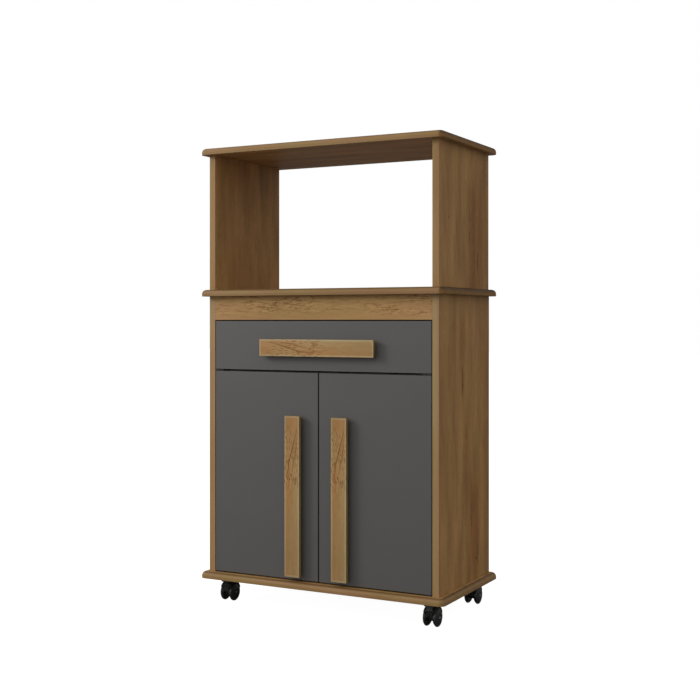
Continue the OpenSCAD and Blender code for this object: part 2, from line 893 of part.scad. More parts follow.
module drawer_back() {
    back_w = box_w - 2 * box_t;
    color(MELAMINE) difference() {
        translate([-back_w / 2, box_rear_y - box_t, inside_z]) {
            cube([back_w, box_t, box_z + box_h - inside_z]);
        }
        drawer_screw_solids(bore = true);
    }
}

module drawer_bottom() {
    color(MELAMINE) difference() {
        drawer_bottom_blank();
        drawer_screw_solids(bore = true);
    }
}

module drawer_screws() {
    color(STEEL) drawer_screw_solids();
}

module drawer_dowels() {
    color(BEECH) drawer_dowel_solids();
}

// Runners, drawn for the left side

// A roller's axle with its riveted head, along X from the web at x0 towards x1
module runner_axle(x0, x1) {
    cross_pin(min(x0, x1), max(x0, x1), roller_axle_r);
    head_x = x1 > x0 ? x1 - axle_head_h : x1;
    cross_pin(head_x, head_x + axle_head_h, roller_axle_r + axle_head_lip);
}

module case_runner() {
    x0 = -inner_w / 2;
    web_x = x0 + steel_t;
    stop_y = rear_roller_y - travel - roller_r - slack - steel_t;
    channel_h = channel_top + steel_t - track_z + steel_t;
    translate([x0, runner_y, track_z - steel_t]) cube([steel_t, runner_l, channel_h]);
    translate([x0, runner_y, track_z - steel_t]) cube([channel_w, runner_l, steel_t]);
    translate([x0, runner_y, channel_top]) cube([channel_w, runner_l, steel_t]);
    translate([web_x + roller_side, stop_y, track_z - steel_t]) {
        cube([channel_w - steel_t - roller_side, steel_t, steel_t + roller_r / 2]);
    }
    translate([0, front_roller_y, roller_z]) {
        runner_axle(web_x - steel_t / 2, web_x + roller_side + roller_w + face_gap + axle_head_h);
    }
}

module case_runners() {
    color(STEEL) difference() {
        for (side = [0, 1]) {
            mirror([side, 0, 0]) case_runner();
        }
        case_screw_solids(bore = true);
    }
}

module roller(x0) {
    difference() {
        cross_pin(x0, x0 + roller_w, roller_r);
        cross_pin(x0 - cut, x0 + roller_w + cut, roller_axle_r + running_fit);
    }
}

module case_rollers() {
    color(PLASTIC) for (side = [0, 1]) {
        mirror([side, 0, 0]) translate([0, front_roller_y, roller_z]) {
            roller(-inner_w / 2 + steel_t + roller_side);
        }
    }
}

module drawer_runner() {
    web_x = -box_w / 2 - steel_t;
    flange_l = rear_roller_y - roller_r - channel_play - runner_y;
    translate([web_x, runner_y, box_z - steel_t]) cube([steel_t, runner_l, flange_z + 2 * steel_t - box_z]);
    translate([web_x, runner_y, box_z - steel_t]) cube([steel_t + ledge_w, runner_l, steel_t]);
    translate([web_x - flange_w, runner_y, flange_z]) cube([flange_w + steel_t, flange_l, steel_t]);
    translate([0, rear_roller_y, roller_z]) {
        runner_axle(web_x + steel_t / 2, web_x - roller_side - roller_w - face_gap - axle_head_h);
    }
}

module drawer_runners() {
    color(STEEL) difference() {
        for (side = [0, 1]) {
            mirror([side, 0, 0]) drawer_runner();
        }
        drawer_screw_solids(bore = true);
    }
}

module drawer_rollers() {
    color(PLASTIC) for (side = [0, 1]) {
        mirror([side, 0, 0]) translate([0, rear_roller_y, roller_z]) {
            roller(-box_w / 2 - steel_t - roller_side - roller_w);
        }
    }
}

// Casters, drawn at the swivel axis with the wheels trailing towards +Y

module caster_mount() {
    head_pocket_h = kingpin_head_h + face_gap;
    difference() {
        union() {
            translate([0, 0, base_z - mount_t]) {
                linear_extrude(mount_t) eased_rectangle(mount_w, mount_w, mount_corner_r);
            }
            translate([0, 0, base_z - mount_t - race_h]) cylinder(h = race_h, r = race_r);
        }
        translate([0, 0, base_z - mount_t - race_h - cut]) {
            cylinder(h = mount_t + race_h + 2 * cut, r = kingpin_r + running_fit);
        }
        translate([0, 0, base_z - head_pocket_h]) {
            cylinder(h = head_pocket_h + cut, r = kingpin_head_r + face_gap);
        }
    }
}

module caster_mounts() {
    color(STEEL) difference() {
        for (place = CASTER_PLACES) {
            translate([place[0], place[1], 0]) caster_mount();
        }
        case_screw_solids(bore = true);
    }
}

// Side view of the web between the wheels: y to the rear, z up, about the axle
module web_outline() {
    skirt_rise = skirt_z - wheel_r;
    neck_top = turntable_z - wheel_r + turntable_h / 2;
    intersection() {
        circle(hood_r);
        translate([-skirt_front, skirt_rise]) square([skirt_front + hood_r, hood_r]);
    }
    translate([-skirt_front, skirt_rise]) square([skirt_front, neck_top - skirt_rise]);
    circle(boss_r);
}

// Side view of the hood's shell over both wheels
module shell_outline() {
    reach = hood_r * 2;
    intersection() {
        difference() {
            circle(hood_r);
            circle(hood_r - hood_wall);
        }
        polygon([[0, 0], [-reach, reach * tan(shell_front_a)], [-reach, reach], [reach, reach],
                 [reach, reach * tan(shell_rear_a)]]);
    }
}

// Turns a side view into a solid along X, w wide, about the axle
module along_x(w) {
    translate([0, trail, wheel_r]) rotate([90, 0, 90]) linear_extrude(w, center = true) children();
}

module hood() {
    pin_top = base_z - face_gap;
    color(BLACK) difference() {
        union() {
            along_x(web_t) web_outline();
            along_x(hood_w) shell_outline();
            translate([0, 0, turntable_z]) cylinder(h = turntable_h, r = race_r);
            translate([0, 0, turntable_z]) cylinder(h = pin_top - turntable_z, r = kingpin_r);
            translate([0, 0, pin_top - kingpin_head_h]) cylinder(h = kingpin_head_h, r = kingpin_head_r);
        }
        translate([0, trail, wheel_r]) cross_pin(-hood_w, hood_w, axle_r);
    }
}

module axle() {
    color(STEEL) translate([0, trail, wheel_r]) cross_pin(-axle_half, axle_half, axle_r);
}

// Half section of a wheel: the radius runs along x and the thickness along y, inner face at y = 0
module wheel_section() {
    dome_rise = wheel_t - rim_mid - rim_r;
    rim_x = wheel_r - rim_r;
    dome_r = (rim_x * rim_x + dome_rise * dome_rise) / (2 * dome_rise);
    translate([rim_x, rim_mid]) circle(rim_r);
    intersection() {
        translate([0, wheel_t - dome_r]) circle(dome_r, $fn = DOME_FN);
        square([rim_x, wheel_t]);
    }
}

module wheel() {
    color(BLACK) translate([0, trail, wheel_r]) rotate([0, 90, 0]) translate([0, 0, wheel_in]) {
        difference() {
            rotate_extrude($fn = WHEEL_FN) wheel_section();
            translate([0, 0, -cut]) cylinder(h = wheel_t + 2 * cut, r = axle_r + running_fit);
            translate([0, 0, wheel_t - hub_recess]) cylinder(h = hub_recess + cut, r = axle_r + hub_ring);
        }
    }
}

top_board();
middle_board();
base_board();
upper_side();  // upper_side_left
mirror([1, 0, 0]) upper_side();  // upper_side_right
lower_side();  // lower_side_left
mirror([1, 0, 0]) lower_side();  // lower_side_right
front_rail();
divider_rail();
back_panel();
inner_shelf();
shelf_pins();
dowels();
cam_bolts();
cam_locks();
cam_covers();
base_screws();
back_nails();
caster_mounts();
case_screws();
pivot_plates();
magnetic_catch();
case_runners();
case_rollers();
drawer_front();
drawer_side();  // drawer_side_left
mirror([1, 0, 0]) drawer_side();  // drawer_side_right
drawer_back();
drawer_bottom();
drawer_handle();
drawer_screws();
drawer_dowels();
drawer_runners();
drawer_rollers();

for (side = [0, 1]) {
    mirror([side, 0, 0]) {
        door();
        door_handle();
        pivot_leaves();
        door_screws();
        catch_strike();
    }
}

for (i = [0:3]) {
    translate([CASTER_PLACES[i][0], CASTER_PLACES[i][1], 0]) {
        hood();
        axle();
        mirror([1, 0, 0]) wheel();
        wheel();
    }
}
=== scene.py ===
"""Looks of the kitchen storage cart: its printed oak boards, graphite fronts, fittings and casters."""

import json
import math

import bmesh
import bpy
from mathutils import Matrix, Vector


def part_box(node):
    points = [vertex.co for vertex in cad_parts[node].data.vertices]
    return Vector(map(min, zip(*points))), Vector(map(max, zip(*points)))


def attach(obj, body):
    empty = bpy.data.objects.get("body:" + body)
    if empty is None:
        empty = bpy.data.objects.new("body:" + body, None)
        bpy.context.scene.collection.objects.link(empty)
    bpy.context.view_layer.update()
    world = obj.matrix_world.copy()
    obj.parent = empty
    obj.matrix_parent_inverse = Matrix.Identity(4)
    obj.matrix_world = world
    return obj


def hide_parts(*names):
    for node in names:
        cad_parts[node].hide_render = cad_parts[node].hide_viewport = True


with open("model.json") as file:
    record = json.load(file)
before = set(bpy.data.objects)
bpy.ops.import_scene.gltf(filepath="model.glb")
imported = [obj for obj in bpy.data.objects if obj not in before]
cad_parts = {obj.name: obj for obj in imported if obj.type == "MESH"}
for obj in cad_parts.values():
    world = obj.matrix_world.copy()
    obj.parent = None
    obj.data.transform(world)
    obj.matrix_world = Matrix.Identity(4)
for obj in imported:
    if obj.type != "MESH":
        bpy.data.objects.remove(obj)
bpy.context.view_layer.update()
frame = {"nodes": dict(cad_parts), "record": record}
nodes = frame["nodes"]
body_of = {
    node: body
    for body, members in frame["record"]["behaviour"]["bodies"].items()
    for node in members
}
slot_of = {part["node"]: part["material_slot"] for part in frame["record"]["subparts"]}

CORNERS = ("front_left", "front_right", "rear_left", "rear_right")
X, Y, Z = range(3)

# Camera, where the photograph was taken from. Pixels are those of a 700 by 700 picture
CAMERA_PLACE = (1.2597, -2.3849, 0.642)
CAMERA_YAW = math.radians(27.78)
FOCAL_PX = 1182.74
PICTURE_PX = 700
HORIZON_PX = 321.0
SENSOR_MM = 36.0

# Softened edges, in metres. A board is rounded only along its outline, and a hood below its crown
PANEL_ARRIS = 0.0004
BOARD_ARRIS = 0.0008
FRONT_ARRIS = 0.0005
HANDLE_ARRIS = 0.0006
HOOD_ARRIS = 0.0007
ARRIS_STEPS = 3
RIM_MARGIN = 0.0141
HOOD_CROWN = 0.006

# Closeness that counts as touching and as lying on a face, the shortest edge that is softened, and
# the angles below which two faces are one and above which they meet in an edge
WELD = 1e-6
ON_FACE = 5 * WELD
SHORTEST_ARRIS = 10 * WELD
FLAT = math.radians(0.4)
SHARP = math.radians(50)

# Share of a normal along a piece's thin axis, above which a face belongs to the flat of a panel or of
# a board with rolled edges, or is one of a hood's upright faces
PANEL_FLAT = 0.6
BOARD_FLAT = 0.985
HOOD_UPRIGHT = 0.99

# Where the looks change, in metres. A handle shows its raw core behind its lip, and its face has a
# painted highlight along its rim. The lower panels' front bands take painted light above a height, and
# the upper two boards take painted shade at their ends
HANDLE_LIP = 0.009
HANDLE_RIM_HIGHLIGHT = 0.0048
PAINTED_LIGHT_HEIGHT = 0.40
PAINTED_LIGHT_FADE = 0.05
BOARD_END = 0.0115
BOARD_END_FADE = 0.0035

# A board's rolled edge, in metres above its underside: where its painted shade starts and stops,
# darker towards its top on all sides and once more at the ends
ROLL_TOP_SHADE_SPAN = (0.0105, 0.0142)
END_ROLL_SHADE_SPAN = (0.004, 0.011)

# Growth rings: metres from one to the next, tilt of the saw's cut, and the heart of the log in metres
# beside and below the piece
RING_SPACING = 0.011
RING_TILT = 0.05
HEART_BESIDE = 0.0
HEART_BELOW = 0.03

# Which part of the noise a print takes. The boards and the side panels count on from theirs
SEED_STEP = (0.731, 0.417, 0.293)
BOARD_SEED = 11
BOARD_BAND_SEED = 14
SIDE_SEED = 21
SIDE_BAND_SEED = 25
RAIL_SEED = 31
RAIL_BAND_SEED = 32
DIVIDER_SEED = 33
SHELF_SEED = 34
SHELF_BAND_SEED = 36
HANDLE_SEED = 41
HANDLE_BAND_SEED = 42

# Light. The surround is brighter in front of the cart and on its left than behind it and on its right
SKY_SHINE = 0.76
SKY_FRONT = 0.42
SKY_LEFT = 0.13
KEY_WATTS = 52
KEY_SIZE = 1.1
KEY_PLACE = (-2.5, -1.8, 1.9)
KEY_AIM = (0, -0.14, 0.5)
FLOOR_GREY = 0.22
FLOOR_SHINE = 0.97
FLOOR_SIZE = 40.0


# Node trees, built with short calls
class Graph:
    """A material's node tree. A value is a socket, a number or a tuple."""

    def __init__(self, name):
        self.material = bpy.data.materials.new(name)
        self.material.use_nodes = True
        self.tree = self.material.node_tree
        self.tree.nodes.clear()
        output = self.node("OutputMaterial")
        self.shader = self.node("BsdfPrincipled")
        self.tree.links.new(self.shader.outputs[0], output.inputs["Surface"])

    def node(self, kind, **settings):
        made = self.tree.nodes.new("ShaderNode" + kind)
        for name, value in settings.items():
            setattr(made, name, value)
        return made

    def feed(self, socket, value):
        if isinstance(value, bpy.types.NodeSocket):
            self.tree.links.new(value, socket)
        else:
            socket.default_value = value

    def set(self, **values):
        """Feeds sockets of the surface shader, named with _ for a space."""
        for name, value in values.items():
            self.feed(self.shader.inputs[name.replace("_", " ")], value)

    def math(self, operation, *values, clamp=False):
        made = self.node("Math", operation=operation, use_clamp=clamp)
        for socket, value in zip(made.inputs, values):
            self.feed(socket, value)
        return made.outputs[0]

    def add(self, *values):
        total = values[0]
        for value in values[1:]:
            total = self.math("ADD", total, value)
        return total

    def scaled(self, value, factor):
        return self.math("MULTIPLY", value, factor)

    def clamped(self, value):
        """The value, held between 0 and 1."""
        return self.math("ADD", value, 0.0, clamp=True)

    def around(self, noise, width):
        """Noise turned into a swing about zero, about width wide in all."""
        return self.math("MULTIPLY_ADD", noise, width, -0.5 * width)

    def between(self, value, low, high, out_low=0.0, out_high=1.0):
        """Smooth step from out_low to out_high as value goes from low to high."""
        made = self.node("MapRange", interpolation_type="SMOOTHSTEP")
        for socket, given in zip(made.inputs, (value, low, high, out_low, out_high)):
            self.feed(socket, given)
        return made.outputs[0]

    def mix(self, factor, a, b, blend="MIX"):
        made = self.node("Mix", data_type="RGBA", blend_type=blend)
        self.feed(made.inputs[0], factor)
        for index, value in ((6, a), (7, b)):
            if isinstance(value, tuple) and len(value) == 3:
                value = (*value, 1.0)
            self.feed(made.inputs[index], value)
        return made.outputs[2]

    def tinted(self, factor, colour, tint):
        """A colour multiplied by a tint, as far as the factor says."""
        return self.mix(factor, colour, tint, "MULTIPLY")

    def place(self):
        """Coordinates that stay with the piece, in metres."""
        return self.node("TexCoord").outputs["Object"]

    def split(self, vector):
        made = self.node("SeparateXYZ")
        self.feed(made.inputs[0], vector)
        return made.outputs[:]

    def join(self, x, y, z):
        made = self.node("CombineXYZ")
        for socket, value in zip(made.inputs, (x, y, z)):
            self.feed(socket, value)
        return made.outputs[0]

    def vector(self, operation, vector, constant):
        made = self.node("VectorMath", operation=operation)
        self.feed(made.inputs[0], vector)
        made.inputs[1].default_value = constant
        return made.outputs[0]

    def noise(self, vector, factors, detail=2.0, roughness=0.5, distortion=0.0):
        """Noise from 0 to 1 with as many cells per metre along X, Y and Z as the factors say."""
        made = self.node("TexNoise")
        self.feed(made.inputs["Vector"], self.vector("MULTIPLY", vector, factors))
        made.inputs["Scale"].default_value = 1.0
        made.inputs["Detail"].default_value = detail
        made.inputs["Roughness"].default_value = roughness
        made.inputs["Distortion"].default_value = distortion
        return made.outputs[0]

    def bump(self, height, distance):
        """Gives the surface a relief as many metres deep as the distance says."""
        made = self.node("Bump")
        made.inputs["Distance"].default_value = distance
        self.feed(made.inputs["Height"], height)
        self.set(Normal=made.outputs[0])


# Colours, as linear red, green and blue, and tints that multiply them
OAK_LIGHT = (0.400, 0.230, 0.088)
OAK_DARK = (0.172, 0.085, 0.027)
OAK_BAND = (0.300, 0.180, 0.080)
OLIVE = (0.96, 1.02, 0.84)
PINK = (1.04, 0.97, 1.02)
MOSS = (1.03, 1.20, 1.29)
TICK = (0.55, 0.47, 0.38)
# Painted highlight on pale specks beside the print's ticks
GLINT = (1.16, 1.20, 1.28)
KNOT = (0.36, 0.27, 0.20)
VEIN = (0.50, 0.37, 0.27)
SHADE = (0.77, 0.63, 0.48)
WARM = (1.04, 0.88, 0.76)
RUST = (1.02, 0.74, 0.56)
# Pale specks of the print, and the painted highlight on a handle's rim
PALE_SPECKS_AND_RIM_HIGHLIGHT = (1.12, 1.34, 1.75)
# Painted shade at the ends of the upper two boards, and more of it on the upper part of their roll
BOARD_END_SHADE = (0.90, 0.78, 0.56)
# Painted shade on the upper part of a board's rolled edge
ROLL_TOP_SHADE = (0.50, 0.48, 0.44)
END_ROLL_SHADE = (0.46, 0.46, 0.46)
# Painted light on the lower panels' front bands, above a height
PAINTED_LIGHT_TINT = (1.08, 1.15, 1.26)
SIDE_TONE = (1.03, 0.98, 0.90)
GRAPHITE = (0.0755, 0.0710, 0.0670)
MELAMINE = (0.78, 0.77, 0.74)
FIBREBOARD = (0.45, 0.31, 0.17)
HARDBOARD = (0.23, 0.135, 0.066)
HARDBOARD_FIBRE = (0.12, 0.066, 0.030)
BEECH = (0.58, 0.40, 0.22)
BEECH_FLECK = (0.40, 0.25, 0.12)
ZINC = (0.58, 0.59, 0.61)
BLACK_ZINC = (0.020, 0.020, 0.022)
COATED = (0.74, 0.74, 0.72)
NYLON = (0.76, 0.76, 0.73)
BLACK = (0.016, 0.016, 0.015)
TREAD = (0.013, 0.013, 0.012)

# Streaks of the print in metres: start along and across the grain, end along and across, half
# width, and then the strength. They are measured from the end of a handle and from the middle of
# any other piece
HANDLE_DARK = (
    (0.022, 0.0130, 0.052, 0.0078, 0.0016, 0.70),
    (0.042, 0.0092, 0.078, -0.0008, 0.0021, 1.00),
    (0.068, 0.0014, 0.104, -0.0074, 0.0021, 1.00),
    (0.096, -0.0062, 0.128, -0.0098, 0.0015, 0.80),
    (0.122, -0.0085, 0.166, -0.0060, 0.0012, 0.55),
    (0.048, 0.0128, 0.100, 0.0088, 0.0015, 0.70),
    (0.083, 0.0066, 0.116, 0.0020, 0.0014, 0.65),
    (0.034, -0.0026, 0.064, -0.0078, 0.0013, 0.60),
    (0.058, 0.0060, 0.084, 0.0050, 0.0012, 0.55),
)
HANDLE_WARM = (
    (0.000, -0.0040, 0.034, -0.0020, 0.0110, 0.85),
    (0.050, 0.0110, 0.086, 0.0095, 0.0045, 0.70),
    (0.090, -0.0100, 0.210, -0.0090, 0.0090, 0.80),
)
HANDLE_MOSS = (
    (0.080, 0.0130, 0.460, 0.0120, 0.0150, 1.00),
    (0.150, 0.0000, 0.420, 0.0000, 0.0120, 0.60),
)
HANDLE_SPECKS = (
    (0.262, 0.0040, 0.270, 0.0040, 0.0016, 0.40),
    (0.285, -0.0020, 0.291, -0.0020, 0.0012, 0.30),
    (0.206, 0.0000, 0.212, 0.0005, 0.0012, 0.30),
)
UPPER_RIGHT_DARK = (
    (-0.012, 0.0277, 0.030, 0.0270, 0.0045, 0.55),
    (-0.060, 0.0255, -0.022, 0.0250, 0.0040, 0.55),
    (-0.122, 0.0737, -0.066, 0.0725, 0.0045, 0.70),
    (-0.080, -0.0641, -0.030, -0.0630, 0.0050, 0.30),
    (-0.009, -0.0905, -0.002, -0.0905, 0.0026, 1.00),
)
UPPER_RIGHT_SHADE = (
    (-0.230, 0.0620, 0.130, 0.0560, 0.0620, 1.00),
    (-0.150, 0.1250, 0.180, 0.1250, 0.0360, 0.50),
)
LOWER_RIGHT_DARK = (
    (0.098, -0.0145, 0.162, -0.0130, 0.0048, 0.75),
    (0.000, 0.0052, 0.040, 0.0050, 0.0042, 0.65),
    (-0.218, 0.0380, -0.134, 0.0370, 0.0048, 0.55),
    (-0.286, 0.0749, -0.234, 0.0740, 0.0050, 0.80),
    (-0.180, -0.0449, -0.070, -0.0440, 0.0060, 0.30),
    (0.052, 0.0761, 0.074, 0.0755, 0.0040, 0.45),
    (-0.272, 0.0672, -0.264, 0.0672, 0.0060, 0.95),
)
LOWER_RIGHT_SHADE = (
    (-0.330, 0.0560, -0.060, 0.0520, 0.0560, 1.00),
    (0.050, -0.0140, 0.300, -0.0120, 0.0240, 0.60),
    (-0.150, 0.0100, 0.100, 0.0080, 0.0300, 0.50),
    (-0.300, 0.1250, 0.330, 0.1250, 0.0400, 0.55),
)
TOP_RUST = (
    (-0.215, -0.1150, -0.070, -0.1120, 0.0170, 0.90),
    (-0.285, 0.0100, -0.165, 0.0180, 0.0220, 0.60),
    (0.020, -0.0900, 0.190, -0.0860, 0.0150, 0.50),
)
TOP_DARK = (
    (-0.190, -0.1180, -0.105, -0.1150, 0.0040, 0.65),
    (-0.110, -0.1290, -0.030, -0.1270, 0.0035, 0.55),
    (-0.265, 0.0130, -0.190, 0.0160, 0.0080, 0.45),
    (-0.060, -0.0700, 0.060, -0.0660, 0.0050, 0.40),
)
RAIL_DARK = (
    (-0.262, 0.0080, -0.225, 0.0035, 0.0016, 0.60),
    (-0.214, -0.0060, -0.180, -0.0090, 0.0014, 0.60),
    (-0.205, 0.0120, -0.165, 0.0100, 0.0015, 0.55),
    (-0.150, 0.0020, -0.105, -0.0020, 0.0015, 0.60),
    (-0.095, 0.0130, -0.060, 0.0120, 0.0013, 0.45),
    (0.020, -0.0040, 0.064, -0.0050, 0.0013, 0.50),
    (0.105, 0.0060, 0.150, 0.0090, 0.0014, 0.50),
    (0.150, -0.0070, 0.205, -0.0030, 0.0014, 0.55),
    (0.180, 0.0100, 0.228, 0.0130, 0.0014, 0.50),
)


# Printed oak. A place on it is (along the grain, across it, through the piece), in metres
def along_grain(graph, grain, origin):
    """The place from an origin.

    The grain is an order of the axes, such as "zyx", and a capital letter turns its axis round.
    """
    parts = dict(zip("xyz", graph.split(graph.place())))
    start = dict(zip("xyz", origin))
    turned = []
    for letter in grain:
        sign = -1.0 if letter.isupper() else 1.0
        axis = letter.lower()
        turned.append(graph.math("MULTIPLY_ADD", parts[axis], sign, -sign * start[axis]))
    return graph.join(*turned)


def moved_by_seed(graph, place, seed):
    return graph.vector("ADD", place, tuple(step * seed for step in SEED_STEP))


def growth_rings(graph, place):
    """Dark lines of a board sawn a little off the grain, from 0 in the early wood to 1."""
    sway = graph.noise(place, (2.2, 9, 9), 2, 0.5)
    wave = graph.noise(place, (7, 40, 40), 3, 0.6)
    along, across, depth = graph.split(place)
    side = graph.add(across, graph.around(sway, 0.05), -HEART_BESIDE)
    below = graph.add(depth, graph.scaled(along, RING_TILT), graph.around(wave, 0.012), HEART_BELOW)
    squares = graph.add(graph.math("POWER", side, 2.0), graph.math("POWER", below, 2.0))
    turn = graph.math("FRACT", graph.scaled(graph.math("SQRT", squares), 1 / RING_SPACING))
    rise = graph.between(turn, 0.15, 0.86)
    fall = graph.between(turn, 0.86, 1.0, 1.0, 0.0)
    return graph.math("MULTIPLY", rise, fall)


def streak_mask(graph, along, across, streak):
    """A soft-ended line of the print, from 0 beside it to its strength."""
    along_0, across_0, along_1, across_1, half_width, strength = streak
    slope = (across_1 - across_0) / (along_1 - along_0)
    fade = 0.3 * (along_1 - along_0)
    to_line = graph.math("MULTIPLY_ADD", along, -slope, slope * along_0 - across_0)
    off = graph.math("ABSOLUTE", graph.add(across, to_line))
    body = graph.between(off, 0.15 * half_width, half_width, strength, 0.0)
    start = graph.between(along, along_0 - fade / 3, along_0 + fade)
    end = graph.between(along, along_1 - fade, along_1 + fade / 3, 1.0, 0.0)
    return graph.math("MULTIPLY", body, graph.math("MULTIPLY", start, end))


def with_streaks(graph, wood, place, wander, texture, marks):
    """Adds the streaks of each (tint, streaks) pair, a little wavy and broken up."""
    along, across, _ = graph.split(place)
    across = graph.add(across, wander)
    for tint, streaks in marks:
        mask = 0.0
        for streak in streaks:
            mask = graph.math("MAXIMUM", mask, streak_mask(graph, along, across, streak))
        wood = graph.tinted(graph.math("MULTIPLY", mask, texture), wood, tint)
    return wood


def painted_rim_highlight(graph, wood, place, length, half_width, rim):
    """Paints a highlight on the outer rim of a strip that starts at the origin of its place."""
    along, across, _ = graph.split(place)
    ends = graph.math("MINIMUM", along, graph.math("SUBTRACT", length, along))
    sides = graph.math("SUBTRACT", half_width, graph.math("ABSOLUTE", across))
    inside = graph.math("MINIMUM", ends, sides)
    return graph.tinted(graph.between(inside, 0.6 * rim, rim, 1.0, 0.0), wood, PALE_SPECKS_AND_RIM_HIGHLIGHT)


def handle_zone(graph, spot):
    """Where a handle's ticks lie: nearly all between 14 and 180 mm from the start of its print."""
    along, _, _ = graph.split(spot)
    start = graph.between(along, 0.014, 0.040, 0.15, 1.0)
    return graph.math("MULTIPLY", start, graph.between(along, 0.130, 0.180, 1.0, 0.15))


def rail_zone(graph, spot):
    """Where the rail's ticks lie: they thin out along its lower edge and right of its middle."""
    along, across, _ = graph.split(spot)
    bottom = graph.between(across, -0.021, -0.011, 0.10, 1.0)
    left = graph.between(along, -0.060, 0.020, 1.0, 0.30)
    right = graph.between(along, 0.080, 0.150, 0.0, 0.85)
    return graph.math("MULTIPLY", bottom, graph.math("MAXIMUM", left, right))


def oak(name, grain, origin, seed, streaks=2.0, rings=0.0, ticks=0.4, hue=0.5, tone=None, zone=None,
        marks=(), strip=None):
    """Printed oak: streaks, growth rings, fibres, pores and ticks, in golden and pinkish patches.

    tone tints all of it, zone says where its ticks lie, marks are (tint, streaks) pairs, and strip is
    the length, half width and rim width of a handle, whose rim takes a painted highlight.
    """
    graph = Graph(name)
    spot = along_grain(graph, grain, origin)
    place = moved_by_seed(graph, spot, seed)
    broad = graph.noise(place, (4.0, 25, 25), 6, 0.58, 0.3)
    fibres = graph.noise(place, (30, 1500, 1500), 2, 0.7)
    dark = graph.add(0.29, graph.around(broad, streaks), graph.around(fibres, 0.26))
    if rings:
        lines = growth_rings(graph, place)
        patchy = graph.between(graph.noise(place, (5, 18, 18), 1), 0.38, 0.62)
        dark = graph.add(dark, graph.math("MULTIPLY", graph.around(lines, rings), patchy))
    wood = graph.mix(graph.clamped(dark), OAK_LIGHT, OAK_DARK)
    patches = graph.noise(place, (3.5, 24, 24), 3, 0.6)
    wood = graph.tinted(hue, wood, graph.mix(graph.between(patches, 0.38, 0.62), OLIVE, PINK))
    flecks = graph.between(graph.noise(place, (16, 90, 90), 3, 0.6, 0.5), 0.60, 0.72)
    tick_field = graph.noise(place, (75, 390, 390), 3, 0.6, 0.7)
    tick_zone = graph.between(graph.noise(place, (8, 26, 26), 1), 0.38, 0.60)
    if zone:
        tick_zone = graph.math("MULTIPLY", graph.add(tick_zone, 0.35), zone(graph, spot), clamp=True)
    tick_mask = graph.math("MULTIPLY", graph.between(tick_field, 0.52, 0.61), tick_zone)
    # Pale specks beside the ticks: painted highlights that give the print an embossed look
    glint_mask = graph.math("MULTIPLY", graph.between(tick_field, 0.36, 0.46, 1.0, 0.0), tick_zone)
    wood = graph.tinted(graph.scaled(tick_mask, ticks), wood, TICK)
    wood = graph.tinted(graph.scaled(glint_mask, ticks), wood, GLINT)
    wood = graph.tinted(graph.scaled(flecks, 0.45 * streaks / 2), wood, SHADE)
    pores = graph.between(graph.noise(place, (160, 2200, 2200), 1, 0.5), 0.64, 0.76)
    wood = graph.tinted(graph.scaled(pores, 0.4), wood, TICK)
    if marks:
        wander = graph.around(graph.noise(place, (45, 45, 45), 2, 0.6), 0.004)
        texture = graph.between(graph.noise(place, (70, 420, 420), 2, 0.6), 0.30, 0.55, 0.45, 1.0)
        wood = with_streaks(graph, wood, spot, wander, texture, marks)
    # A handle's rim takes a painted highlight
    if strip:
        wood = painted_rim_highlight(graph, wood, spot, *strip)
    if tone:
        wood = graph.tinted(1.0, wood, tone)
    graph.set(Base_Color=wood, IOR=1.46, Specular_IOR_Level=0.2)
    graph.set(Roughness=graph.add(0.50, graph.scaled(fibres, 0.10), graph.scaled(pores, 0.12)))
    relief = graph.math("SUBTRACT", graph.scaled(fibres, 0.4), graph.add(pores, tick_mask))
    graph.bump(relief, 0.00006)
    return graph.material


